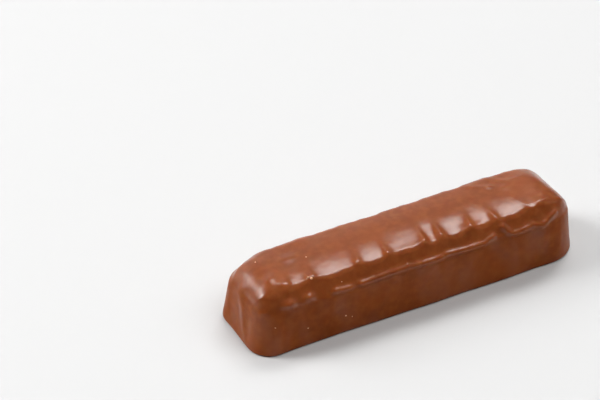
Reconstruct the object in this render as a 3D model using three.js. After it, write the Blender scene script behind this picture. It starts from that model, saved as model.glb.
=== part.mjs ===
// A toffee finger: one bar of toffee in a coat of milk chocolate.
// Millimetres, +X along the bar, +Z up. The origin is on the flat underside, below the bar's middle.
//
// The bar is a block with sloping walls, a sloping band, the shoulder, between its long walls and the top,
// and ends that are rounded over. The coating has run and set on it. That leaves pads along the front half
// of the top, which slope down to the front edge between low ribs, and folds down the walls. The front wall
// faces -Y. The left end, at -X, slopes the most.

import * as THREE from 'three';
import { mergeVertices } from 'three/addons/utils/BufferGeometryUtils.js';

const { clamp, degToRad, lerp, smoothstep } = THREE.MathUtils;

// Driving dimensions.
const LENGTH = 53; // along X at the foot
const WIDTH = 14; // along Y at the foot
const HEIGHT = 10.1; // at the middle of the domed top
const DOME = { front: 0.2, back: 0.7 }; // how far the top would fall from its middle line to its sides

const SIDE_SLOPE = degToRad(3.5); // lean of the long walls from upright
const END_SLOPE = { left: degToRad(9.2), right: degToRad(4) };
const END_RADIUS = { left: 3.5, right: 4.8 }; // where the ends turn over into the top and the long walls
const FOOT_RADIUS = 0.6; // where the walls meet the flat underside

// The shoulders leave the long walls at their heights. Their two edges are crisp along the bar and soften
// towards the ends, between the two distances from the middle.
const SHOULDER = { tilt: degToRad(55), height: { front: 7.5, back: 7.2 }, edge: 0.3 };
const SOFTNESS = { left: 0.9, right: 0.6 };
const SOFT_FROM = { left: 18.5, right: 20 };
const SOFT_TO = { left: 23, right: 23.8 };

// The pads. Each lies between two ribs, whose crests are given by their X at the middle line and at the
// front edge. It starts in front of the middle line, slopes by its tilt from where it is full, and rises to
// either rib over that rib's flank.
const PADS = [
  { left: [-19.0, -20.6], right: [-16.3, -17.0], tilt: 8.0, start: 0.8, full: 3.6, flank: [0.8, 0.7] },
  { left: [-16.1, -16.1], right: [-7.9, -9.2], tilt: 8.2, start: 0.2, full: 3.9, flank: [0.55, 0.7] },
  { left: [-7.9, -9.0], right: [-4.3, -4.3], tilt: 8.8, start: 0, full: 3.9, flank: [0.6, 0.5] },
  { left: [-4.3, -4.3], right: [2.2, 1.7], tilt: 8.0, start: -0.2, full: 2.8, flank: [0.9, 0.9] },
  { left: [2.2, 1.7], right: [5.0, 4.3], tilt: 10.5, start: -0.2, full: 1.6, flank: [0.75, 0.6] },
  { left: [5.0, 4.5], right: [9.8, 9.2], tilt: 9.5, start: 0.4, full: 2.4, flank: [0.6, 0.7] },
  { left: [9.8, 9.2], right: [12.6, 13.3], tilt: 8.8, start: -0.6, full: 3.2, flank: [0.6, 0.7] },
  { left: [13.2, 13.2], right: [17.0, 18.8], tilt: 9.0, start: 0.2, full: 3.6, flank: [0.6, 0.9] },
];
const FRONT_EDGE = 4.6; // distance of the front edge from the middle line
const CREST_FROM = -0.5; // shares of that distance between which a rib's crest is followed
const CREST_TO = 1.2;
const RIB_CREST = 0.2; // half-width over which a rib's crest is rounded

// Broad rises and hollows of the coating: centre, reach along each axis, and rise (a hollow is below 0).
const SWELLS = [
  { at: [-23.2, 5.2, 8.2], reach: [2.2, 2.2, 2.4], rise: -0.47 }, // back corner of the left end
  { at: [-24.2, -3.4, 9.0], reach: [1.6, 2.0, 1.8], rise: 0.12 }, // front corner of the left end
  { at: [-14.6, 5.6, 9.0], reach: [2.4, 2.2, 2.4], rise: 0.2 },
  { at: [-8.8, 5.6, 9.0], reach: [1.6, 2.0, 2.0], rise: 0.12 },
  { at: [-2.5, 5.6, 9.0], reach: [3.6, 2.0, 2.0], rise: -0.07 },
  { at: [15.0, 5.4, 9.0], reach: [2.6, 2.2, 2.2], rise: 0.14 },
  { at: [21.8, 4.8, 8.8], reach: [2.0, 2.2, 2.2], rise: -0.1 },
  { at: [-23.4, -6.0, 0.8], reach: [2.2, 2.2, 2.4], rise: 0.2 }, // front foot of the left end
  { at: [-13.5, -7.0, 0.8], reach: [6.0, 2.0, 2.2], rise: -0.1 },
  { at: [1.5, -7.0, 0.8], reach: [2.8, 2.0, 2.2], rise: 0.1 },
  { at: [12.0, -7.0, 0.8], reach: [4.2, 2.0, 2.4], rise: 0.1 },
  { at: [19.0, -7.0, 1.2], reach: [1.8, 2.0, 2.6], rise: -0.08 },
  { at: [-25.6, 3.4, 6.6], reach: [1.8, 2.2, 1.8], rise: 0.2 }, // left end, upper back
  { at: [-26.0, 1.8, 2.2], reach: [2.0, 2.4, 2.4], rise: -0.2 }, // left end, its hollow foot
  { at: [25.4, -3.0, 6.0], reach: [1.8, 2.2, 2.6], rise: 0.1 },
  { at: [22.8, 1.0, 9.6], reach: [2.2, 3.0, 1.6], rise: 0.12 },
  { at: [24.6, -2.2, 9.0], reach: [1.8, 1.8, 1.8], rise: 0.22 }, // right end, upper front
  { at: [24.4, -4.8, 8.4], reach: [1.4, 1.5, 1.4], rise: 0.22 }, // its front corner
];

// Upright folds on the long walls: which wall (-1 front, 1 back), place along X, half-width and rise.
const FOLDS = [
  { wall: -1, at: -17.5, reach: 2.2, rise: 0.07 },
  { wall: -1, at: -6.5, reach: 2.0, rise: 0.08 },
  { wall: -1, at: 3.6, reach: 1.6, rise: 0.08 },
  { wall: -1, at: 14.2, reach: 1.5, rise: 0.1 },
  { wall: -1, at: 20.3, reach: 0.9, rise: 0.14 },
  { wall: 1, at: -19.0, reach: 1.7, rise: 0.1 },
  { wall: 1, at: -10.8, reach: 2.1, rise: 0.09 },
  { wall: 1, at: -1.2, reach: 1.8, rise: 0.1 },
  { wall: 1, at: 7.4, reach: 2.2, rise: 0.08 },
  { wall: 1, at: 17.6, reach: 1.6, rise: 0.11 },
];
const FOLD_MIDDLE = 4.2; // height at which a fold stands out most
const FOLD_REACH = 3.4;

// The surface is found by walking out from a core line inside the bar.
const CORE_HEIGHT = 0.45 * HEIGHT;
const CORE_HALF_LENGTH = LENGTH / 2 - WIDTH / 2;
const SEGMENTS = [96, 13, 9]; // along X, Y and Z
const HALVINGS = 40;
const FLATNESS = 1e-3; // a point this near the resting plane lies on it

const MILK_BROWN = 0x8c5338; // milk chocolate, as the top of the bar shows it

/** Greater of two distances, with the crease between them rounded to a radius. */
function roundedMax(a, b, radius) {
  const inside = Math.min(-radius, Math.max(a, b));
  return inside + Math.hypot(Math.max(a + radius, 0), Math.max(b + radius, 0));
}

/** A bell that is 1 at the middle and fades over the reach. */
function bell(offset, reach) {
  return Math.exp(-((offset / reach) ** 2));
}

/** 0 on a rib's crest and beyond it, and towards 1 away from it. */
function awayFromRib(offset, flank) {
  return 1 - Math.exp((RIB_CREST - Math.hypot(Math.max(offset, 0), RIB_CREST)) / flank);
}

/** How deep a pad lies below the plain top. */
function padDepth({ left, right, tilt, start, full, flank }, x, y) {
  const share = clamp(-y / FRONT_EDGE, CREST_FROM, CREST_TO);
  const reach = full - start;
  const curved = clamp(-y - start, 0, reach) ** 2 / (2 * reach);
  const fall = Math.tan(degToRad(tilt)) * (curved + Math.max(-y - full, 0));
  const fromLeft = awayFromRib(x - lerp(...left, share), flank[0]);
  const fromRight = awayFromRib(lerp(...right, share) - x, flank[1]);
  return fall * fromLeft * fromRight;
}

/** How far the coating stands out from the plain block at a point. */
function coating({ x, y, z }) {
  let rise = 0;
  for (const { at, reach, rise: height } of SWELLS) {
    rise += height * bell(x - at[0], reach[0]) * bell(y - at[1], reach[1]) * bell(z - at[2], reach[2]);
  }
  const upright = bell(z - FOLD_MIDDLE, FOLD_REACH);
  for (const { wall, at, reach, rise: height } of FOLDS) {
    rise += height * upright * bell(x - at, reach) * smoothstep(wall * y, 0, WIDTH / 2);
  }
  return rise;
}

/** Signed distance-like value of the bar: below 0 inside, 0 on its surface. */
function depthAt(point) {
  const { x, y, z } = point;
  const end = x < 0 ? 'left' : 'right';
  const wall = y < 0 ? 'front' : 'back';
  const side = (Math.abs(y) - WIDTH / 2 + z * Math.tan(SIDE_SLOPE)) * Math.cos(SIDE_SLOPE);
  const nose = (Math.abs(x) - LENGTH / 2 + z * Math.tan(END_SLOPE[end])) * Math.cos(END_SLOPE[end]);
  const dome = DOME[wall] * ((2 * y) / WIDTH) ** 2;
  const top = PADS.reduce((height, pad) => height + padDepth(pad, x, y), z - HEIGHT + dome);
  const shoulder = Math.sin(SHOULDER.tilt) * side + Math.cos(SHOULDER.tilt) * (z - SHOULDER.height[wall]);
  const softness = SOFTNESS[end] * smoothstep(Math.abs(x), SOFT_FROM[end], SOFT_TO[end]);
  const edge = SHOULDER.edge + softness;
  const section = roundedMax(roundedMax(side, shoulder, edge), top, edge);
  const block = roundedMax(section, nose, END_RADIUS[end]);
  return roundedMax(block - coating(point), -z, FOOT_RADIUS);
}

/** The point where a ray from the core leaves the bar, found by halving. */
function surfacePoint(core, direction) {
  const point = new THREE.Vector3();
  let inside = 0;
  let outside = WIDTH;
  for (let step = 0; step < HALVINGS; step += 1) {
    const middle = (inside + outside) / 2;
    point.copy(core).addScaledVector(direction, middle);
    if (depthAt(point) < 0) inside = middle;
    else outside = middle;
  }
  if (Math.abs(point.z) < FLATNESS) point.z = 0;
  return point;
}

/** A box whose grid of points is moved out or in along rays from the core line to the bar's surface. */
function barGeometry() {
  const box = new THREE.BoxGeometry(LENGTH, WIDTH, HEIGHT, ...SEGMENTS).translate(0, 0, HEIGHT / 2);
  box.deleteAttribute('normal');
  box.deleteAttribute('uv');
  const skin = mergeVertices(box);
  const places = skin.getAttribute('position');
  const corner = new THREE.Vector3();
  for (let i = 0; i < places.count; i += 1) {
    corner.fromBufferAttribute(places, i);
    const along = clamp(corner.x, -CORE_HALF_LENGTH, CORE_HALF_LENGTH);
    const core = new THREE.Vector3(along, 0, CORE_HEIGHT);
    const point = surfacePoint(core, corner.sub(core).normalize());
    places.setXYZ(i, point.x, point.y, point.z);
  }
  skin.computeVertexNormals();
  return skin;
}

const milkChocolate = new THREE.MeshStandardMaterial({
  color: MILK_BROWN,
  roughness: 0.38,
  metalness: 0,
});

const bar = new THREE.Mesh(barGeometry(), milkChocolate);
bar.name = 'toffee_finger';

const root = new THREE.Group();
root.add(bar);

export default root;
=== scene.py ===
"""A toffee finger: one bar of toffee in a coat of milk chocolate, on a pale floor.

The bar is one solid: a block with sloping walls, a sloping band, the shoulder, between its long walls
and the top, and ends that are rounded over. The coating has run and set on it. That leaves pads along the
front half of the top, which slope down to the front edge between low ribs, a thin crease along the front
shoulder, folds and wrinkles, and a fine, uneven skin. The front wall faces -Y and +Z is up.

The form is worked out in millimetres and made into a mesh in metres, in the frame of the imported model.
"""

from __future__ import annotations

import logging
import math
from dataclasses import dataclass
from enum import Enum
from typing import ClassVar, Protocol, Union

import bmesh
import bpy
import numpy as np
from mathutils import Matrix, Vector, noise

import sys


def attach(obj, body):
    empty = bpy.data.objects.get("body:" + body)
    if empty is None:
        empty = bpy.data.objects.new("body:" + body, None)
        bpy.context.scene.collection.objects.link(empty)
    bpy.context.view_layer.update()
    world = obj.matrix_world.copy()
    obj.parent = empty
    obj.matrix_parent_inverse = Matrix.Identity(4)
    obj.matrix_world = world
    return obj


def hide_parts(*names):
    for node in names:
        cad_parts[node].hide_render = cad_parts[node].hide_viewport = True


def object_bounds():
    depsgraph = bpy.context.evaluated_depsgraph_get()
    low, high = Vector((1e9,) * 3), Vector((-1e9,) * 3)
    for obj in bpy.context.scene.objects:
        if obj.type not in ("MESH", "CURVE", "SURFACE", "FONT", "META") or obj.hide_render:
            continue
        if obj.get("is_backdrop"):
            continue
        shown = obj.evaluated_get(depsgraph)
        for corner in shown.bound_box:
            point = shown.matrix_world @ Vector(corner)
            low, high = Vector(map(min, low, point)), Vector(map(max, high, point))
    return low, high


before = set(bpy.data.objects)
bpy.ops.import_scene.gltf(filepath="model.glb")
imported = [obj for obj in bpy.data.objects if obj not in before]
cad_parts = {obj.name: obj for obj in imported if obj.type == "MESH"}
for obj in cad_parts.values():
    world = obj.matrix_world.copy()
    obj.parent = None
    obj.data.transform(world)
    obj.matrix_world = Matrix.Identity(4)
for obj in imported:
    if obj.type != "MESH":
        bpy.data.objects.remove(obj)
cad_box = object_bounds()

NODE = "toffee_finger"
BODY = "root"
MM = 0.001  # one millimetre in Blender's metres

Numbers = np.ndarray
Pair = tuple[float, float]
Point = tuple[float, float, float]
SkinPoint = Pair  # X, and the distance round the section from the top's middle line
Colour = tuple[float, float, float, float]

log = logging.getLogger("toffee_finger")


def bell(offset: Numbers, reach: float) -> Numbers:
    """A bell that is 1 at the middle and fades over the reach."""
    return np.exp(-((offset / reach) ** 2))


def fade(value: Numbers, low: Numbers | float, high: Numbers | float) -> Numbers:
    """0 below the low end, 1 above the high end, smooth between."""
    part = np.clip((value - low) / (high - low), 0.0, 1.0)
    return part * part * (3.0 - 2.0 * part)


def rounded_max(first: Numbers, second: Numbers, radius: Numbers | float) -> Numbers:
    """Greater of two distances, with the crease between them rounded to a radius.

    Args:
        first: Distances from one surface, below 0 inside.
        second: Distances from the other surface.
        radius: Radius of the rounding where the two surfaces meet.

    Returns:
        Distances from the rounded intersection of the two bodies.
    """
    inside = np.minimum(-radius, np.maximum(first, second))
    return inside + np.hypot(np.maximum(first + radius, 0.0), np.maximum(second + radius, 0.0))


def distance_to_path(points: Numbers, path: Numbers) -> Numbers:
    """Distance from each point to the nearest place on a path of straight stretches.

    Args:
        points: Places, one in each row.
        path: Corners of the path, one in each row, with as many columns as the points.

    Returns:
        One distance for each point.
    """
    nearest = np.full(len(points), np.inf)
    for start, end in zip(path, path[1:]):
        along = end - start
        share = np.clip((points - start) @ along / (along @ along), 0.0, 1.0)
        nearest = np.minimum(nearest, np.linalg.norm(points - start - share[:, None] * along, axis=1))
    return nearest


class Wall(Enum):
    """The two long walls, by the sign of Y."""

    FRONT = -1
    BACK = 1


@dataclass(frozen=True)
class WallSizes:
    """A size that differs between the two long walls."""

    front: float
    back: float

    def at(self, y: Numbers) -> Numbers:
        """The front wall's size where Y is below 0, and the back wall's elsewhere."""
        return np.where(y < 0.0, self.front, self.back)


@dataclass(frozen=True)
class EndSizes:
    """A size that differs between the two ends."""

    left: float
    right: float

    def at(self, x: Numbers) -> Numbers:
        """The left end's size where X is below 0, and the right end's elsewhere."""
        return np.where(x < 0.0, self.left, self.right)


# ---------------------------------------------------------------------------------------------------
# Relief of the coating, in millimetres. Round the section, 0 is the top's middle line, about 4.6 the front
# edge and about 7.8 the place where the front shoulder leaves the wall. The back half is below 0.


class SpaceRelief(Protocol):
    """Relief that is given by a place in space."""

    def rise_at(self, points: Numbers) -> Numbers:
        """How far the coating stands out at each point."""


class SkinRelief(Protocol):
    """Relief that is given by a place on the skin."""

    def rise_at(self, skin: Numbers) -> Numbers:
        """How far the coating stands out at each place on the skin."""


@dataclass(frozen=True)
class Swell:
    """A broad rise of the coating in space, or a hollow where rise is below 0."""

    at: Point
    reach: Point
    rise: float

    def rise_at(self, points: Numbers) -> Numbers:
        """How far the coating stands out at each point."""
        return self.rise * bell(points - np.array(self.at), np.array(self.reach)).prod(axis=1)


@dataclass(frozen=True)
class Fold:
    """An upright fold on a long wall, strongest at mid height."""

    wall: Wall
    at: float
    reach: float
    rise: float
    middle: float = 4.2
    half_height: float = 3.4
    half_width: ClassVar[float] = 7.0  # of the bar, over which a fold grows from the middle

    def rise_at(self, points: Numbers) -> Numbers:
        """How far the coating stands out at each point.

        Args:
            points: Places in space, one in each row.

        Returns:
            One rise for each point.
        """
        x, y, z = points.T
        upright = bell(z - self.middle, self.half_height)
        towards_wall = fade(self.wall.value * y, 0.0, self.half_width)
        return self.rise * upright * bell(x - self.at, self.reach) * towards_wall


@dataclass(frozen=True)
class Seam:
    """A narrow ridge along a path in space."""

    path: tuple[Point, ...]
    rise: float
    reach: float

    def rise_at(self, points: Numbers) -> Numbers:
        """How far the coating stands out at each point."""
        return self.rise * bell(distance_to_path(points, np.array(self.path)), self.reach)


@dataclass(frozen=True)
class Pad:
    """A shallow hollow of the top that slopes down to the front edge, between the crests of two ribs."""

    left: Pair  # X of the left rib's crest, at the middle line and at the front edge
    right: Pair
    tilt: float  # degrees that it slopes where it is steepest
    start: float  # distance in front of the middle line at which it starts
    full: float  # distance at which it is steepest
    flank: Pair  # how fast it falls away from the left and the right rib
    edge: ClassVar[float] = 4.6  # distance of the front edge from the middle line
    followed: ClassVar[Pair] = (-0.5, 1.2)  # shares of that distance between which a crest is followed
    crest: ClassVar[float] = 0.2  # half-width over which a rib's crest is rounded

    def depth_at(self, x: Numbers, y: Numbers) -> Numbers:
        """How deep the hollow is at each place on the top.

        Args:
            x: Places along the bar.
            y: Places across the bar.

        Returns:
            One depth for each place.
        """
        share = np.clip(-y / self.edge, *self.followed)
        left, right = (top + (edge - top) * share for top, edge in (self.left, self.right))
        reach = self.full - self.start
        curved = np.clip(-y - self.start, 0.0, reach) ** 2 / (2.0 * reach)
        fall = math.tan(math.radians(self.tilt)) * (curved + np.maximum(-y - self.full, 0.0))
        return fall * self._away(x - left, self.flank[0]) * self._away(right - x, self.flank[1])

    def _away(self, offset: Numbers, flank: float) -> Numbers:
        """0 on a rib's crest and beyond it, and towards 1 away from it."""
        return 1.0 - np.exp((self.crest - np.hypot(np.maximum(offset, 0.0), self.crest)) / flank)


@dataclass(frozen=True)
class Rib:
    """A rib of coating that runs over the front edge and down the shoulder."""

    path: tuple[SkinPoint, ...]  # of its crest, from where it starts to where it ends
    rise: float
    full: float  # distance round the section at which it is fully grown
    last: float  # distance at which it starts to die out
    left: float = 1.2  # width of its left flank
    right: float = 1.0
    crest: float = 0.15  # half-width over which its crest is rounded
    inset: ClassVar[float] = 0.4  # share of a flank by which its curve starts inside the crest

    def rise_at(self, skin: Numbers) -> Numbers:
        """How far the coating stands out at each place on the skin.

        Args:
            skin: Places on the skin, one in each row.

        Returns:
            One rise for each place.
        """
        x, around = skin.T
        places, stations = np.array(self.path).T
        middle = np.interp(around, stations, places)
        growth = fade(around, stations[0], self.full) * (1.0 - fade(around, self.last, stations[-1]))
        flank = np.where(x < middle, self.left, self.right)
        off_crest = np.hypot(x - middle, self.crest) - self.crest
        curve = 1.0 - fade(off_crest, -self.inset * flank, flank)
        on_crest = 1.0 - fade(np.zeros(1), -self.inset, 1.0)
        return self.rise * growth * curve / on_crest


@dataclass(frozen=True)
class Dab:
    """A small oval rise or dent on the skin."""

    at: SkinPoint
    reach: Pair
    rise: float
    turn: float = 0.0  # degrees

    def rise_at(self, skin: Numbers) -> Numbers:
        """How far the coating stands out at each place on the skin.

        Args:
            skin: Places on the skin, one in each row.

        Returns:
            One rise for each place.
        """
        along, across = (skin - np.array(self.at)).T
        cosine, sine = math.cos(math.radians(self.turn)), math.sin(math.radians(self.turn))
        lengthwise = bell(cosine * along + sine * across, self.reach[0])
        return self.rise * lengthwise * bell(cosine * across - sine * along, self.reach[1])


@dataclass(frozen=True)
class Crease:
    """A thin ridge along a path on the skin."""

    path: tuple[SkinPoint, ...]
    rise: float
    reach: float = 0.48

    def rise_at(self, skin: Numbers) -> Numbers:
        """How far the coating stands out at each place on the skin."""
        return self.rise * bell(distance_to_path(skin, np.array(self.path)), self.reach)


@dataclass(frozen=True)
class Unevenness:
    """Soft waves all over the skin, made of smooth noise at one size."""

    size: float  # from one wave to the next
    rise: float
    offset: Point

    def rise_at(self, points: Numbers) -> Numbers:
        """How far the coating stands out at each point."""
        places = (points / self.size + np.array(self.offset)).tolist()
        return self.rise * np.array([noise.noise(Vector(place)) for place in places])


SWELLS: tuple[SpaceRelief, ...] = (
    Swell((-23.2, 5.2, 8.2), (2.2, 2.2, 2.4), -0.47),  # back corner of the left end
    Swell((-24.2, -3.4, 9.0), (1.6, 2.0, 1.8), 0.12),  # front corner of the left end
    Swell((-14.6, 5.6, 9.0), (2.4, 2.2, 2.4), 0.2),
    Swell((-8.8, 5.6, 9.0), (1.6, 2.0, 2.0), 0.12),
    Swell((-2.5, 5.6, 9.0), (3.6, 2.0, 2.0), -0.07),
    Swell((15.0, 5.4, 9.0), (2.6, 2.2, 2.2), 0.14),
    Swell((21.8, 4.8, 8.8), (2.0, 2.2, 2.2), -0.1),
    Swell((-23.4, -6.0, 0.8), (2.2, 2.2, 2.4), 0.2),  # front foot of the left end
    Swell((-13.5, -7.0, 0.8), (6.0, 2.0, 2.2), -0.1),
    Swell((1.5, -7.0, 0.8), (2.8, 2.0, 2.2), 0.1),
    Swell((12.0, -7.0, 0.8), (4.2, 2.0, 2.4), 0.1),
    Swell((19.0, -7.0, 1.2), (1.8, 2.0, 2.6), -0.08),
    Swell((-25.6, 3.4, 6.6), (1.8, 2.2, 1.8), 0.2),  # left end, upper back
    Swell((-26.0, 1.8, 2.2), (2.0, 2.4, 2.4), -0.2),  # left end, its hollow foot
    Swell((25.4, -3.0, 6.0), (1.8, 2.2, 2.6), 0.1),
    Swell((22.8, 1.0, 9.6), (2.2, 3.0, 1.6), 0.12),
    Swell((24.6, -2.2, 9.0), (1.8, 1.8, 1.8), 0.22),  # right end, upper front
    Swell((24.4, -4.8, 8.4), (1.4, 1.5, 1.4), 0.22),  # its front corner
)

FOLDS: tuple[SpaceRelief, ...] = (
    Fold(Wall.FRONT, -17.5, 2.2, 0.07),
    Fold(Wall.FRONT, -6.5, 2.0, 0.08),
    Fold(Wall.FRONT, 3.6, 1.6, 0.08),
    Fold(Wall.FRONT, 14.2, 1.5, 0.1),
    Fold(Wall.FRONT, 20.3, 0.9, 0.14),
    Fold(Wall.BACK, -19.0, 1.7, 0.1),
    Fold(Wall.BACK, -10.8, 2.1, 0.09),
    Fold(Wall.BACK, -1.2, 1.8, 0.1),
    Fold(Wall.BACK, 7.4, 2.2, 0.08),
    Fold(Wall.BACK, 17.6, 1.6, 0.11),
)

SEAMS: tuple[SpaceRelief, ...] = (
    # down the left end
    Seam(((-25.3, 0.6, 7.4), (-25.6, -0.3, 5.7), (-26.0, -1.6, 2.9), (-26.1, -3.0, 1.2)), 0.14, reach=0.8),
)

PADS: tuple[Pad, ...] = (
    Pad((-19.0, -20.6), (-16.3, -17.0), tilt=8.0, start=0.8, full=3.6, flank=(0.8, 0.7)),
    Pad((-16.1, -16.1), (-7.9, -9.2), tilt=8.2, start=0.2, full=3.9, flank=(0.55, 0.7)),
    Pad((-7.9, -9.0), (-4.3, -4.3), tilt=8.8, start=0.0, full=3.9, flank=(0.6, 0.5)),
    Pad((-4.3, -4.3), (2.2, 1.7), tilt=8.0, start=-0.2, full=2.8, flank=(0.9, 0.9)),
    Pad((2.2, 1.7), (5.0, 4.3), tilt=10.5, start=-0.2, full=1.6, flank=(0.75, 0.6)),
    Pad((5.0, 4.5), (9.8, 9.2), tilt=9.5, start=0.4, full=2.4, flank=(0.6, 0.7)),
    Pad((9.8, 9.2), (12.6, 13.3), tilt=8.8, start=-0.6, full=3.2, flank=(0.6, 0.7)),
    Pad((13.2, 13.2), (17.0, 18.8), tilt=9.0, start=0.2, full=3.6, flank=(0.6, 0.9)),
)

RIBS: tuple[SkinRelief, ...] = (
    Rib(((-8.8, 4.4), (-8.6, 7.0)), 0.06, full=5.0, last=5.8),
    Rib(((4.6, 4.4), (4.2, 5.8), (3.4, 7.6)), 0.12, full=5.6, last=6.4, left=1.0, right=1.0, crest=0.4),
    Rib(((9.3, 4.4), (10.3, 6.4), (10.3, 7.3)), 0.07, full=5.2, last=5.8, left=0.8, right=0.8, crest=0.3),
    Rib(((13.2, 4.4), (13.6, 6.0), (14.0, 7.3)), 0.1, full=5.2, last=5.8, left=1.2, right=1.2, crest=0.4),
    Rib(((19.4, 4.4), (18.8, 6.5)), 0.1, full=5.0, last=5.8, crest=0.4),
)

CREASES: tuple[SkinRelief, ...] = (
    # along the front shoulder, in stretches, with a branch up it at the end
    Crease(((-13.7, 7.35), (-12.5, 7.5), (-11.3, 7.6)), 0.38),
    Crease(((-9.6, 7.5), (-8.6, 7.55), (-7.6, 7.45)), 0.41),
    Crease(((-6.7, 7.45), (-5.0, 7.4), (-2.0, 7.45), (-0.4, 7.5)), 0.34),
    Crease(((0.5, 7.55), (1.6, 7.6), (3.3, 7.6)), 0.41),
    Crease(((4.2, 7.4), (6.0, 7.5), (7.5, 7.6), (9.5, 7.6), (10.2, 7.7), (11.0, 7.4), (12.0, 7.1)), 0.41),
    Crease(((13.8, 6.2), (14.4, 7.1), (15.1, 7.6), (16.2, 7.6), (17.6, 7.45)), 0.37),
    Crease(((18.5, 7.3), (19.0, 7.6), (19.7, 7.8), (20.5, 7.5), (21.4, 7.0), (22.3, 6.6)), 0.37),
    Crease(((19.5, 7.1), (19.2, 6.5), (19.3, 5.2)), 0.14, reach=0.5),
    # wrinkles of the back half of the top
    Crease(((13.2, -3.6), (15.5, -2.2)), 0.06, reach=0.4),
    Crease(((16.8, -3.9), (18.3, -2.5), (19.2, -2.0), (21.0, -2.1)), 0.06, reach=0.4),
    # folds down the front wall
    Crease(((20.4, 8.2), (20.3, 10.2), (19.6, 11.8), (18.0, 13.8)), 0.14, reach=0.7),
    Crease(((23.0, 6.4), (23.1, 9.0), (23.0, 12.0)), 0.05, reach=0.4),
    Crease(((-4.5, 9.0), (-6.5, 11.2), (-8.0, 12.6)), 0.15, reach=0.8),
    Crease(((2.0, 9.0), (0.0, 11.4)), 0.14, reach=0.8),
    Crease(((9.0, 9.2), (7.6, 12.4)), 0.15, reach=0.9),
    Crease(((-14.8, 8.6), (-15.6, 12.0)), 0.15, reach=0.9),
)

DABS: tuple[SkinRelief, ...] = (
    # lumps on the front shoulder
    Dab((-21.0, 7.2), (0.95, 0.65), 0.62),
    Dab((-17.8, 7.1), (0.8, 0.6), 0.54),
    # along the front edge
    Dab((8.3, 4.7), (0.9, 0.8), 0.12),
    Dab((10.6, 4.8), (0.8, 0.7), 0.08),
    Dab((0.0, 4.9), (2.2, 0.7), 0.045),
    # here and there on the top, its front edge and the shoulder
    Dab((-17.6, -0.9), (1.2, 0.9), 0.12),
    Dab((-22.1, 2.3), (1.3, 0.8), 0.16, turn=-35.0),
    Dab((-20.5, 4.4), (0.9, 1.5), 0.14),
    Dab((17.7, -0.8), (0.8, 0.8), 0.09),
    Dab((19.5, 4.4), (0.6, 0.9), -0.07),
    Dab((20.6, 4.5), (0.7, 1.0), 0.12),
    Dab((21.9, 2.8), (0.6, 0.6), 0.05),
    Dab((19.9, 5.6), (0.8, 0.8), -0.06),
    Dab((15.9, -2.0), (0.5, 0.45), 0.07),
    Dab((-2.0, 7.1), (0.25, 0.3), 0.13),
)

WAVES: tuple[SpaceRelief, ...] = (
    Unevenness(5.0, 0.05, (3.1, 7.7, 1.3)),
    Unevenness(1.9, 0.022, (9.2, 0.4, 5.6)),
    Unevenness(0.8, 0.008, (2.7, 6.1, 8.4)),
)


# ---------------------------------------------------------------------------------------------------
# Form of the bar, in millimetres.


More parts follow.
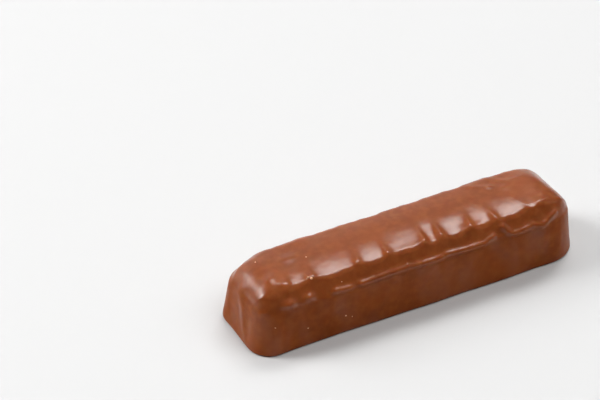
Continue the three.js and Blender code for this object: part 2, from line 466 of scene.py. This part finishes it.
@dataclass(frozen=True)
class BarForm:
    """The bar's surface: a rounded block, with the relief of its coating on it."""

    length: float = 53.0  # along X at the foot
    width: float = 14.0  # along Y at the foot
    height: float = 10.1  # at the middle of the domed top
    dome: WallSizes = WallSizes(0.2, 0.7)  # how far the top would fall from its middle line to a wall
    side_slope: float = math.radians(3.5)  # lean of the long walls from upright
    end_slope: EndSizes = EndSizes(math.radians(9.2), math.radians(4.0))
    end_radius: EndSizes = EndSizes(3.5, 4.8)  # where the ends turn over into the top and the long walls
    foot_radius: float = 0.6  # where the walls meet the flat underside
    edge_radius: float = 0.34  # where the top turns over into the shoulders
    shoulder_tilt: float = math.radians(55.0)
    shoulder_height: WallSizes = WallSizes(7.5, 7.2)  # at which a shoulder leaves its wall
    shoulder_radius: float = 0.12  # where it leaves the wall
    # waves along the shoulders: each one's size, rise and start
    shoulder_waves: tuple[Point, ...] = ((1.13, 0.05, 0.4), (0.53, 0.035, 1.9), (0.27, 0.02, 3.3))
    # what the ends add to the edge's and the shoulder's radius, and from where to where it sets in
    end_softness: EndSizes = EndSizes(0.9, 0.6)
    soft_from: EndSizes = EndSizes(18.5, 20.0)
    soft_to: EndSizes = EndSizes(23.0, 23.8)
    pads: tuple[Pad, ...] = PADS
    plain_section: float = -16.2  # X of a section that no pad changes
    core_share: float = 0.45  # height of the core line over the bar's

    @property
    def core_height(self) -> float:
        """Height of the core line, from which the surface is found."""
        return self.core_share * self.height

    @property
    def core_half_length(self) -> float:
        """Half the length of the core line."""
        return (self.length - self.width) / 2.0

    def block_distance(self, points: Numbers) -> Numbers:
        """Signed, distance-like value of the plain block without its foot: below 0 inside.

        Args:
            points: Places in space, one in each row.

        Returns:
            One value for each point.
        """
        x, y, z = points.T
        slope = self.end_slope.at(x)
        side = (np.abs(y) - self.width / 2.0 + z * math.tan(self.side_slope)) * math.cos(self.side_slope)
        nose = (np.abs(x) - self.length / 2.0 + z * np.tan(slope)) * np.cos(slope)
        top = z - self.height + self.dome.at(y) * (2.0 * y / self.width) ** 2
        top += sum(pad.depth_at(x, y) for pad in self.pads)
        sine, cosine = math.sin(self.shoulder_tilt), math.cos(self.shoulder_tilt)
        shoulder = sine * side + cosine * (z - self.shoulder_height.at(y))
        shoulder -= sum(rise * np.sin(x / size + start) for size, rise, start in self.shoulder_waves)
        softness = self.end_softness.at(x) * fade(np.abs(x), self.soft_from.at(x), self.soft_to.at(x))
        walls = rounded_max(side, shoulder, self.shoulder_radius + softness)
        section = rounded_max(walls, top, self.edge_radius + softness)
        return rounded_max(section, nose, self.end_radius.at(x))

    def distance(self, points: Numbers, reliefs: tuple[SpaceRelief, ...] = ()) -> Numbers:
        """Signed, distance-like value of the bar with some of its relief.

        Args:
            points: Places in space, one in each row.
            reliefs: Relief that is part of the form.

        Returns:
            One value for each point, below 0 inside.
        """
        coating = sum((relief.rise_at(points) for relief in reliefs), np.zeros(len(points)))
        return rounded_max(self.block_distance(points) - coating, -points[:, 2], self.foot_radius)

    def surface(
        self,
        cores: Numbers,
        directions: Numbers,
        reliefs: tuple[SpaceRelief, ...],
        slack: float = 0.9,
        coarse_steps: int = 22,
        fine_steps: int = 14,
    ) -> Numbers:
        """Points where rays from the core line leave the bar, found by halving.

        Args:
            cores: Where each ray starts, one in each row.
            directions: Direction of each ray, of length 1.
            reliefs: Relief that is part of the form.
            slack: The most that the relief moves the surface along a ray.
            coarse_steps: How often the plain block's stretch is halved.
            fine_steps: How often the stretch with the relief is halved.

        Returns:
            One point of the surface for each ray.
        """
        start = np.zeros(len(cores))
        plain = self._halve(cores, directions, start, start + self.width, (), coarse_steps)
        reached = self._halve(cores, directions, plain - slack, plain + slack, reliefs, fine_steps)
        return cores + directions * reached[:, None]

    def _halve(
        self,
        cores: Numbers,
        directions: Numbers,
        inside: Numbers,
        outside: Numbers,
        reliefs: tuple[SpaceRelief, ...],
        steps: int,
    ) -> Numbers:
        """How far along each ray the surface is.

        Args:
            cores: Where each ray starts, one in each row.
            directions: Direction of each ray, of length 1.
            inside: How far along each ray a place inside the bar is.
            outside: How far along it a place outside the bar is.
            reliefs: Relief that is part of the form.
            steps: How often the stretch between the two is halved.

        Returns:
            One distance for each ray.
        """
        for _ in range(steps):
            middle = (inside + outside) / 2.0
            within = self.distance(cores + directions * middle[:, None], reliefs) < 0.0
            inside = np.where(within, middle, inside)
            outside = np.where(within, outside, middle)
        return (inside + outside) / 2.0

    def normals(self, points: Numbers, step: float = 0.02) -> Numbers:
        """Outward directions of the plain block's surface.

        Args:
            points: Places on or near the surface, one in each row.
            step: Half the distance over which the slope is measured.

        Returns:
            One direction of length 1 for each point.
        """
        ahead = [self.distance(points + axis * step) for axis in np.eye(3)]
        behind = [self.distance(points - axis * step) for axis in np.eye(3)]
        slopes = np.stack(ahead, axis=1) - np.stack(behind, axis=1)
        return slopes / np.linalg.norm(slopes, axis=1, keepdims=True)

    def section(self, samples: int = 1441) -> tuple[Numbers, Numbers]:
        """The plain section, as turns about the core and as distances round it from the top's middle line.

        Args:
            samples: How many places on the section are measured.

        Returns:
            The turns and the distances, both above 0 over the front edge.
        """
        turns = np.linspace(-math.pi, math.pi, samples)
        cores = np.tile([self.plain_section, 0.0, self.core_height], (samples, 1))
        directions = np.stack([np.zeros(samples), -np.sin(turns), np.cos(turns)], axis=1)
        section = self.surface(cores, directions, ())
        run = np.concatenate([[0.0], np.cumsum(np.linalg.norm(np.diff(section, axis=0), axis=1))])
        return turns, run - run[samples // 2]

    def around(self, points: Numbers) -> Numbers:
        """Distance round the section of each point, from the top's middle line."""
        return np.interp(np.arctan2(-points[:, 1], points[:, 2] - self.core_height), *self.section())

    def places(self, skin: Numbers) -> Numbers:
        """Points of the form's surface for places on the skin.

        Args:
            skin: Places on the skin, one in each row, well away from the ends' slopes.

        Returns:
            One point for each place.
        """
        turns, run = self.section()
        turn = np.interp(skin[:, 1], run, turns)
        cores = np.stack([skin[:, 0], np.zeros(len(skin)), np.full(len(skin), self.core_height)], axis=1)
        directions = np.stack([np.zeros(len(skin)), -np.sin(turn), np.cos(turn)], axis=1)
        return self.surface(cores, directions, SWELLS + FOLDS)


@dataclass(frozen=True)
class Grid:
    """The surface of a box as a grid of points and four-sided faces, finer where the relief is."""

    counts: tuple[int, int, int]  # cells along X, Y and Z
    spread: tuple[tuple[Pair, ...], ...]  # for each axis: share of its cells, and the place they reach

    def _side(self, axis: int, far: bool) -> Numbers:
        """The faces of one side of the box, facing out.

        Args:
            axis: The axis that the side stands across.
            far: Whether it is the side at that axis's far end.

        Returns:
            For each face its four corners, as whole steps along each axis.
        """
        first, second = [other for other in range(3) if other != axis]
        rows, columns = np.mgrid[: self.counts[first], : self.counts[second]]
        corners = np.zeros((rows.size, 4, 3), dtype=int)
        turn = ((0, 0), (1, 0), (1, 1), (0, 1))
        if far == (axis == 1):
            turn = turn[::-1]
        for corner, (down, right) in enumerate(turn):
            corners[:, corner, axis] = self.counts[axis] if far else 0
            corners[:, corner, first] = rows.ravel() + down
            corners[:, corner, second] = columns.ravel() + right
        return corners

    def build(self) -> tuple[Numbers, Numbers]:
        """The whole box.

        Returns:
            Points from -0.5 to 0.5 along each axis, and faces as rows of four point numbers.
        """
        corners = np.concatenate([self._side(axis, far) for axis in range(3) for far in (False, True)])
        steps, faces = np.unique(corners.reshape(-1, 3), axis=0, return_inverse=True)
        shares = (steps / np.array(self.counts)).T
        places = [np.interp(share, *np.array(spread).T) for share, spread in zip(shares, self.spread)]
        return np.stack(places, axis=1) - 0.5, faces.reshape(-1, 4)


# ---------------------------------------------------------------------------------------------------
# Shader nodes.


Value = Union[float, Colour, Point, "Wire"]


@dataclass(frozen=True)
class Wire:
    """An output socket of a node tree that takes part in sums as a number does."""

    graph: Graph
    socket: bpy.types.NodeSocket

    def _math(self, operation: str, first: Value, second: Value) -> Wire:
        """A Math node of two values."""
        return self.graph.add("ShaderNodeMath", {"operation": operation}, {0: first, 1: second})

    def __add__(self, other: Value) -> Wire:
        """This plus the other."""
        return self._math("ADD", self, other)

    def __radd__(self, other: Value) -> Wire:
        """The other plus this."""
        return self._math("ADD", other, self)

    def __sub__(self, other: Value) -> Wire:
        """This less the other."""
        return self._math("SUBTRACT", self, other)

    def __rsub__(self, other: Value) -> Wire:
        """The other less this."""
        return self._math("SUBTRACT", other, self)

    def __mul__(self, other: Value) -> Wire:
        """This times the other."""
        return self._math("MULTIPLY", self, other)

    def __rmul__(self, other: Value) -> Wire:
        """The other times this."""
        return self._math("MULTIPLY", other, self)


@dataclass(frozen=True)
class Graph:
    """A node tree, with one way to add a node."""

    tree: bpy.types.NodeTree

    def add(
        self,
        kind: str,
        settings: dict[str, object] | None = None,
        values: dict[str | int, Value] | None = None,
        output: str | int = 0,
    ) -> Wire:
        """Adds a node and gives one of its outputs.

        Args:
            kind: Type of the node.
            settings: The node's own settings, which are set first.
            values: Numbers or links for its sockets, by the socket's name or place.
            output: Name or place of the output that is wanted.

        Returns:
            That output.
        """
        node = self.tree.nodes.new(kind)
        for name, setting in (settings or {}).items():
            setattr(node, name, setting)
        for key, value in (values or {}).items():
            self.feed(self._socket(node.inputs, key), value)
        return Wire(self, self._socket(node.outputs, output))

    def feed(self, socket: bpy.types.NodeSocket, value: Value) -> None:
        """Links a socket to a wire, or sets it to a plain value.

        Args:
            socket: Input socket of a node.
            value: The wire, number, colour or vector.
        """
        if isinstance(value, Wire):
            self.tree.links.new(value.socket, socket)
        else:
            socket.default_value = value

    @staticmethod
    def _socket(sockets: bpy.types.bpy_prop_collection, key: str | int) -> bpy.types.NodeSocket:
        """The socket in use that has this name or place."""
        usable = [socket for socket in sockets if socket.enabled]
        return usable[key] if isinstance(key, int) else next(s for s in usable if s.name == key)

    def place(self) -> Wire:
        """The place on the object, in millimetres."""
        values = {"Vector": self.add("ShaderNodeTexCoord", output="Object"), "Scale": 1.0 / MM}
        return self.add("ShaderNodeVectorMath", {"operation": "SCALE"}, values)

    def mix(self, share: Value, first: Value, second: Value) -> Wire:
        """A colour between two colours."""
        return self.add("ShaderNodeMix", {"data_type": "RGBA"}, {"Factor": share, "A": first, "B": second})

    def remap(self, value: Wire, old: Pair, new: Pair = (0.0, 1.0)) -> Wire:
        """A value moved smoothly from one range to another, and kept inside it.

        Args:
            value: What is moved.
            old: Start and end of its own range.
            new: What they become.

        Returns:
            The moved value.
        """
        names = ("Value", "From Min", "From Max", "To Min", "To Max")
        values = dict(zip(names, (value, *old, *new)))
        return self.add("ShaderNodeMapRange", {"interpolation_type": "SMOOTHSTEP"}, values)

    def cloud(self, place: Wire, size: float, detail: float = 2.0, roughness: float = 0.5) -> Wire:
        """Smooth noise from 0 to 1.

        Args:
            place: Where it is read, in millimetres.
            size: From one cloud to the next, in millimetres.
            detail: How many finer layers it has.
            roughness: How strong the finer layers are.

        Returns:
            The noise.
        """
        values = {"Vector": place, "Scale": 1.0 / size, "Detail": detail, "Roughness": roughness}
        return self.add("ShaderNodeTexNoise", {"noise_dimensions": "3D"}, values)


# ---------------------------------------------------------------------------------------------------
# Finishes.


def new_material(name: str) -> tuple[bpy.types.Material, Graph, bpy.types.Node]:
    """A material with nodes.

    Args:
        name: Name of the material.

    Returns:
        The material, its node tree and its shader.
    """
    material = bpy.data.materials.new(name)
    material.use_nodes = True
    shader = next(node for node in material.node_tree.nodes if node.type == "BSDF_PRINCIPLED")
    return material, Graph(material.node_tree), shader


@dataclass(frozen=True)
class MilkChocolate:
    """The coating: warm milk brown, softly glossy, with a fine grain and a faint cloudiness."""

    name: str = "milk_chocolate"
    deep: Colour = (0.182, 0.040, 0.0064, 1.0)
    plain: Colour = (0.220, 0.050, 0.0082, 1.0)
    pale: Colour = (0.258, 0.066, 0.0130, 1.0)
    cloud_size: float = 6.0
    cloud_range: Pair = (0.3, 0.7)  # of the noise, from the deep to the plain brown
    mottle_size: float = 1.1
    mottle_range: Pair = (0.35, 0.75)  # of the noise, towards the pale brown
    mottle_share: float = 0.55
    mottle_detail: float = 3.0
    sheen_size: float = 2.2
    sheen_range: Pair = (0.3, 0.7)
    roughness: Pair = (0.34, 0.46)
    grain_size: float = 0.16
    grain_depth: float = 0.004
    wobble_size: float = 0.9
    wobble_depth: float = 0.006
    specular: float = 0.03
    gloss_height: Pair = (7.2, 7.9)  # the coat's gloss grows between these heights
    wall_gloss: Pair = (0.06, 0.5)  # range of the coat's gloss below them
    streak_size: float = 3.0
    streak_range: Pair = (0.4, 0.7)
    streak_stretch: Point = (1.0, 1.0, 0.45)  # draws the streaks out down the walls
    gloss_roughness: float = 0.25
    gloss_ior: float = 1.47
    scatter_weight: float = 0.6
    scatter_reach: Point = (0.8, 0.25, 0.1)

    def build(self) -> bpy.types.Material:
        """The finished material.

        Returns:
            The material, ready to be put on the bar.
        """
        material, graph, shader = new_material(self.name)
        place = graph.place()
        graph.feed(shader.inputs["Base Color"], self._colour(graph, place))
        graph.feed(shader.inputs["Roughness"], self._roughness(graph, place))
        graph.feed(shader.inputs["Normal"], self._relief(graph, place))
        graph.feed(shader.inputs["Coat Weight"], self._gloss(graph, place))
        constants = {
            "Specular IOR Level": self.specular,
            "Coat Roughness": self.gloss_roughness,
            "Coat IOR": self.gloss_ior,
            "Subsurface Weight": self.scatter_weight,
            "Subsurface Radius": self.scatter_reach,
            "Subsurface Scale": MM,
        }
        for name, value in constants.items():
            shader.inputs[name].default_value = value
        return material

    def _colour(self, graph: Graph, place: Wire) -> Wire:
        """Brown that drifts between a deeper and a paler shade, in broad clouds and small mottles.

        Args:
            graph: The material's node tree.
            place: The place on the bar, in millimetres.

        Returns:
            The colour.
        """
        cloud = graph.remap(graph.cloud(place, self.cloud_size), self.cloud_range)
        mottle = graph.remap(graph.cloud(place, self.mottle_size, self.mottle_detail), self.mottle_range)
        base = graph.mix(cloud, self.deep, self.plain)
        return graph.mix(mottle * self.mottle_share, base, self.pale)

    def _roughness(self, graph: Graph, place: Wire) -> Wire:
        """Sheen that is a little uneven."""
        cloud = graph.cloud(place, self.sheen_size, self.mottle_detail)
        return graph.remap(cloud, self.sheen_range, self.roughness)

    def _gloss(self, graph: Graph, place: Wire) -> Wire:
        """Full gloss on the top, and soft streaks of it down the walls.

        Args:
            graph: The material's node tree.
            place: The place on the bar, in millimetres.

        Returns:
            The weight of the coat.
        """
        height = graph.add("ShaderNodeSeparateXYZ", {}, {"Vector": place}, "Z")
        on_top = graph.remap(height, self.gloss_height)
        product = {"operation": "MULTIPLY"}
        stretched = graph.add("ShaderNodeVectorMath", product, {0: place, 1: self.streak_stretch})
        streaks = graph.remap(graph.cloud(stretched, self.streak_size), self.streak_range, self.wall_gloss)
        return on_top + (1.0 - on_top) * streaks

    def _relief(self, graph: Graph, place: Wire) -> Wire:
        """Fine grain over a slight wobble.

        Args:
            graph: The material's node tree.
            place: The place on the bar, in millimetres.

        Returns:
            The bumped normal.
        """
        wobble = graph.cloud(place, self.wobble_size, detail=1.0) * (self.wobble_depth * MM)
        grain = graph.cloud(place, self.grain_size, detail=1.0) * (self.grain_depth * MM)
        heights = {"Strength": 1.0, "Distance": 1.0, "Height": wobble + grain}
        return graph.add("ShaderNodeBump", {}, heights)


@dataclass(frozen=True)
class ToffeeCrumb:
    """Pale toffee and sugar, dull and a little uneven."""

    name: str = "toffee_crumb"
    dark: Colour = (0.52, 0.20, 0.075, 1.0)
    light: Colour = (0.80, 0.46, 0.26, 1.0)
    roughness: float = 0.45
    mottle_size: float = 0.15

    def build(self) -> bpy.types.Material:
        """The finished material.

        Returns:
            The material, ready to be put on the specks.
        """
        material, graph, shader = new_material(self.name)
        mottle = graph.cloud(graph.place(), self.mottle_size)
        graph.feed(shader.inputs["Base Color"], graph.mix(mottle, self.dark, self.light))
        shader.inputs["Roughness"].default_value = self.roughness
        return material


# ---------------------------------------------------------------------------------------------------
# Pieces.


def new_piece(name: str, points: Numbers, faces: Numbers) -> bpy.types.Object:
    """A smooth-shaded object in the scene, from points in millimetres.

    Args:
        name: Name of the piece.
        points: Its points, one in each row.
        faces: Its faces, as rows of point numbers.

    Returns:
        The object.
    """
    mesh = bpy.data.meshes.new(name)
    mesh.from_pydata((points * MM).tolist(), [], faces.tolist())
    mesh.shade_smooth()
    piece = bpy.data.objects.new(name, mesh)
    bpy.context.scene.collection.objects.link(piece)
    return piece


def settle(piece: bpy.types.Object, material: bpy.types.Material) -> None:
    """Gives a piece its finish and its place in the frame, and reports it.

    Args:
        piece: The piece, which has no material yet.
        material: Its finish.
    """
    piece.data.materials.append(material)
    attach(piece, BODY)
    sizes = ", ".join(f"{size / MM:.2f}" for size in piece.dimensions)
    log.info("%s: %d faces, %s mm", piece.name, len(piece.data.polygons), sizes)


@dataclass(frozen=True)
class ChocolateBar:
    """The bar itself, coating and all."""

    form: BarForm = BarForm()
    grid: Grid = Grid(
        counts=(300, 80, 60),
        spread=(
            ((0.0, 0.0), (1.0, 1.0)),
            ((0.0, 0.0), (0.6, 0.42), (1.0, 1.0)),
            ((0.0, 0.0), (0.3, 0.6), (0.85, 0.96), (1.0, 1.0)),
        ),
    )
    touching: float = 0.02  # a point this near the resting plane lies on it
    name: str = "chocolate_bar"

    def build(self) -> bpy.types.Object:
        """The bar as a mesh.

        Returns:
            The piece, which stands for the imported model's only node.
        """
        units, faces = self.grid.build()
        points = self.skin_points(units)
        piece = new_piece(self.name, points, faces)
        settle(piece, MilkChocolate().build())
        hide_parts(NODE)
        return piece

    def skin_points(self, units: Numbers) -> Numbers:
        """Points of the bar's skin, one for each point of the box grid.

        Args:
            units: The box grid's points, from -0.5 to 0.5 along each axis.

        Returns:
            Places on the skin, in millimetres.
        """
        form = self.form
        box = units * np.array([form.length, form.width, form.height])
        box[:, 2] += form.height / 2.0
        along = np.clip(box[:, 0], -form.core_half_length, form.core_half_length)
        cores = np.stack([along, np.zeros(len(box)), np.full(len(box), form.core_height)], axis=1)
        directions = box - cores
        directions /= np.linalg.norm(directions, axis=1, keepdims=True)
        points = form.surface(cores, directions, SWELLS + FOLDS)
        return self._coat(points)

    def _coat(self, points: Numbers) -> Numbers:
        """Adds the finer relief of the coating, which leaves the flat underside alone.

        Args:
            points: Places on the form's surface, one in each row.

        Returns:
            The places on the skin.
        """
        skin = np.stack([points[:, 0], self.form.around(points)], axis=1)
        rise = sum((relief.rise_at(skin) for relief in RIBS + CREASES + DABS), np.zeros(len(points)))
        rise += sum((relief.rise_at(points) for relief in SEAMS + WAVES), np.zeros(len(points)))
        rise *= fade(points[:, 2], self.touching, self.form.foot_radius)
        coated = points + self.form.normals(points) * rise[:, None]
        coated[points[:, 2] < self.touching, 2] = 0.0
        return coated


@dataclass(frozen=True)
class Crumbs:
    """Specks of toffee and sugar that have stuck to the coating."""

    form: BarForm = BarForm()
    # X, distance round the section, and half-width of each speck
    specks: tuple[Point, ...] = (
        (-15.1, 0.1, 0.13),
        (-16.95, 4.3, 0.18),
        (-16.6, 4.6, 0.26),
        (-23.4, 10.3, 0.13),
        (-18.4, 12.0, 0.12),
        (-12.3, 12.1, 0.12),
        (-11.3, 12.6, 0.1),
        (-1.9, 7.0, 0.12),
        (-12.4, 6.4, 0.1),
        (-21.9, -2.5, 0.12),
    )
    flatness: float = 0.55  # height of a speck over its width
    sunk: float = 0.25  # share of its height below the coating
    unevenness: float = 0.35  # how much a corner's distance from its middle varies
    stretch: Pair = (0.7, 1.2)  # range of its stretch along each axis
    roundness: int = 2  # subdivisions of the ball that it is made from
    seed: int = 5
    name: str = "toffee_crumbs"

    def build(self) -> bpy.types.Object:
        """All specks as one mesh.

        Returns:
            The piece.
        """
        ball, faces = self._ball()
        specks = np.array(self.specks)
        places = self.form.places(specks[:, :2])
        normals = self.form.normals(places)
        rng = np.random.default_rng(self.seed)
        parts = []
        for place, normal, size in zip(places, normals, specks[:, 2]):
            lump = self._pressed(self._lump(ball, rng) * size, normal)
            parts.append(place + lump + normal * size * self.flatness * (0.5 - self.sunk))
        numbers = [faces + len(ball) * part for part in range(len(parts))]
        piece = new_piece(self.name, np.concatenate(parts), np.concatenate(numbers))
        settle(piece, ToffeeCrumb().build())
        return piece

    def _ball(self) -> tuple[Numbers, Numbers]:
        """A ball of radius 1.

        Returns:
            Its points, one in each row, and its faces as rows of point numbers.
        """
        mesh = bpy.data.meshes.new("speck")
        shape = bmesh.new()
        bmesh.ops.create_icosphere(shape, subdivisions=self.roundness, radius=1.0)
        shape.to_mesh(mesh)
        shape.free()
        points = np.array([vertex.co for vertex in mesh.vertices])
        faces = np.array([face.vertices for face in mesh.polygons])
        bpy.data.meshes.remove(mesh)
        return points, faces

    def _lump(self, ball: Numbers, rng: np.random.Generator) -> Numbers:
        """The ball with uneven corners, stretched at random."""
        corners = 1.0 + self.unevenness * (rng.random((len(ball), 1)) - 0.5)
        return ball * corners * rng.uniform(*self.stretch, 3)

    def _pressed(self, lump: Numbers, normal: Numbers) -> Numbers:
        """A lump that is pressed flat along the coating's normal."""
        return lump - normal * ((lump @ normal) * (1.0 - self.flatness))[:, None]


# ---------------------------------------------------------------------------------------------------
# Floor, light and camera.


@dataclass(frozen=True)
class Camera:
    """The photograph's view, with the sizes of its 600 by 400 frame."""

    azimuth: float = math.radians(-28.47)
    elevation: float = math.radians(38.0)
    distance: float = 0.690
    image_width: float = 600.0
    image_height: float = 400.0
    pixels_per_mm: float = 6.92  # at the origin
    origin_pixel: Pair = (399.22, 281.55)
    sensor: float = 36.0
    clip: Pair = (0.05, 20.0)

    def axes(self) -> tuple[Vector, Vector, Vector]:
        """The directions of the view.

        Returns:
            Its right, up and back directions, of length 1.
        """
        sine, cosine = math.sin(self.azimuth), math.cos(self.azimuth)
        low, high = math.cos(self.elevation), math.sin(self.elevation)
        right = Vector((cosine, sine, 0.0))
        up = Vector((-sine * high, cosine * high, low))
        back = Vector((sine * low, -cosine * low, high))
        return right, up, back

    def build(self) -> bpy.types.Object:
        """The camera, turned from the origin so that the origin falls on its own pixel.

        Returns:
            The scene's camera.
        """
        data = bpy.data.cameras.new("camera")
        data.sensor_width = self.sensor
        data.lens = self.pixels_per_mm * self.distance / MM * self.sensor / self.image_width
        data.clip_start, data.clip_end = self.clip
        right, up, back = self.axes()
        pixel = MM / self.pixels_per_mm
        sideways = (self.image_width / 2.0 - self.origin_pixel[0]) * pixel
        upwards = (self.origin_pixel[1] - self.image_height / 2.0) * pixel
        place = back * self.distance
        aim = right * sideways + up * upwards - place
        turned = (-back).rotation_difference(aim)
        level = Matrix((right, up, back)).transposed().to_4x4()
        camera = bpy.data.objects.new("camera", data)
        camera.matrix_world = Matrix.Translation(place) @ turned.to_matrix().to_4x4() @ level
        bpy.context.scene.collection.objects.link(camera)
        bpy.context.scene.camera = camera
        return camera


@dataclass(frozen=True)
class Softbox:
    """A flat studio light, placed by its angles as seen from the bar.

    Elevation 0 is the horizon behind the bar, 90 is overhead and 180 the horizon in front of it. Side is
    how far towards the right end, +X, the light stands. Its lower and upper edges can fade, in layers of
    less and less height.
    """

    name: str
    elevation: Pair
    side: Pair
    radiance: float
    graded: Pair = (0.0, 0.0)  # degrees over which the lower and the upper edge fade
    layers: int = 1
    shine: bool = True  # whether it shows in glossy surfaces
    distance: float = 0.9

    def build(self) -> None:
        """All layers of the light, facing the bar."""
        low, high = self.elevation
        for layer in range(self.layers):
            share = layer / max(self.layers - 1, 1)
            edges = low + self.graded[0] * share, high - self.graded[1] * share
            self._layer(f"{self.name}_{layer}", *edges)

    def _layer(self, name: str, low: float, high: float) -> None:
        """One area light between two elevations, with its share of the radiance.

        Args:
            name: Name of the light.
            low: Elevation of its lower edge, in degrees.
            high: Elevation of its upper edge.
        """
        tall = math.radians(high - low) / 2.0
        wide = math.radians(self.side[1] - self.side[0]) / 2.0
        middle, across = math.radians(low + high) / 2.0, math.radians(sum(self.side)) / 2.0
        level = Vector((0.0, math.cos(middle), math.sin(middle)))
        along = Vector((1.0, 0.0, 0.0))
        depth = level * math.cos(across) + along * math.sin(across)
        data = bpy.data.lights.new(name, "AREA")
        data.shape = "RECTANGLE"
        data.size = 2.0 * self.distance * math.tan(wide)
        data.size_y = 2.0 * self.distance * math.cos(across) * math.tan(tall)
        data.energy = self.radiance / self.layers * math.pi * data.size * data.size_y
        width = (along - depth * depth.x).normalized()
        axes = Matrix((width, depth.cross(width), depth)).transposed().to_4x4()
        light = bpy.data.objects.new(name, data)
        light.matrix_world = Matrix.Translation(depth * self.distance) @ axes
        light.visible_camera = False
        light.visible_glossy = self.shine
        bpy.context.scene.collection.objects.link(light)


@dataclass(frozen=True)
class Studio:
    """A plain pale floor and soft light from all sides."""

    camera: Camera = Camera()
    floor_size: float = 2.4
    floor_tone: Colour = (0.58, 0.58, 0.58, 1.0)
    floor_roughness: float = 0.9
    softboxes: tuple[Softbox, ...] = (
        Softbox("top_softbox", (53.0, 80.0), (6.0, 36.0), 12.0, graded=(11.0, 10.0), layers=5),
        Softbox("front_fill", (98.0, 134.0), (-20.0, 45.0), 2.6, shine=False),
        Softbox("left_fill", (140.0, 175.0), (-75.0, -45.0), 0.4, shine=False),
        Softbox("left_softbox", (24.0, 74.0), (-52.0, -30.0), 14.0, graded=(14.0, 6.0), layers=5),
        Softbox("right_softbox", (92.0, 128.0), (48.0, 66.0), 3.0, graded=(14.0, 14.0), layers=5),
    )
    sky_light: Pair = (0.08, 0.8)  # all round, and behind the bar
    sky_edge: Pair = (0.69, 0.82)  # share of a direction along +Y between which the one becomes the other
    sky_tone: Colour = (1.0, 1.0, 1.0, 1.0)

    def build(self) -> None:
        """Makes the camera, the floor, the lights and the sky."""
        self.camera.build()
        for softbox in self.softboxes:
            softbox.build()
        self._floor()
        self._sky()
        bpy.context.scene.view_settings.view_transform = "Standard"
        log.info("studio: %d softboxes", len(self.softboxes))

    def _floor(self) -> None:
        """The floor, which the bar rests on."""
        half = self.floor_size / 2.0 / MM
        corners = half * np.array([(-1.0, -1.0, 0.0), (1.0, -1.0, 0.0), (1.0, 1.0, 0.0), (-1.0, 1.0, 0.0)])
        floor = new_piece("floor", corners, np.array([[0, 1, 2, 3]]))
        material, _, shader = new_material("floor")
        shader.inputs["Base Color"].default_value = self.floor_tone
        shader.inputs["Roughness"].default_value = self.floor_roughness
        floor.data.materials.append(material)
        floor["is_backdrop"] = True

    def _sky(self) -> None:
        """Dim light all round, and a bright sky behind the bar."""
        world = bpy.data.worlds.new("studio")
        world.use_nodes = True
        bpy.context.scene.world = world
        graph = Graph(world.node_tree)
        background = next(node for node in world.node_tree.nodes if node.type == "BACKGROUND")
        direction = graph.add("ShaderNodeTexCoord", output="Generated")
        towards_back = graph.add("ShaderNodeSeparateXYZ", {}, {"Vector": direction}, "Y")
        graph.feed(background.inputs["Strength"], graph.remap(towards_back, self.sky_edge, self.sky_light))
        background.inputs["Color"].default_value = self.sky_tone


def write_sizes() -> None:
    """Writes the CAD box and the visual model's box."""
    boxes = {"cad": cad_box, "visual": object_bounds()}
    for name, (low, high) in boxes.items():
        log.info("%s box: %s mm", name, ", ".join(f"{size / MM:.2f}" for size in high - low))


def main() -> None:
    """Builds the bar and the studio round it."""
    logging.basicConfig(level=logging.INFO, format="%(name)s: %(message)s", stream=sys.stdout)
    ChocolateBar().build()
    Crumbs().build()
    Studio().build()
    write_sizes()


if __name__ == "__main__":
    main()
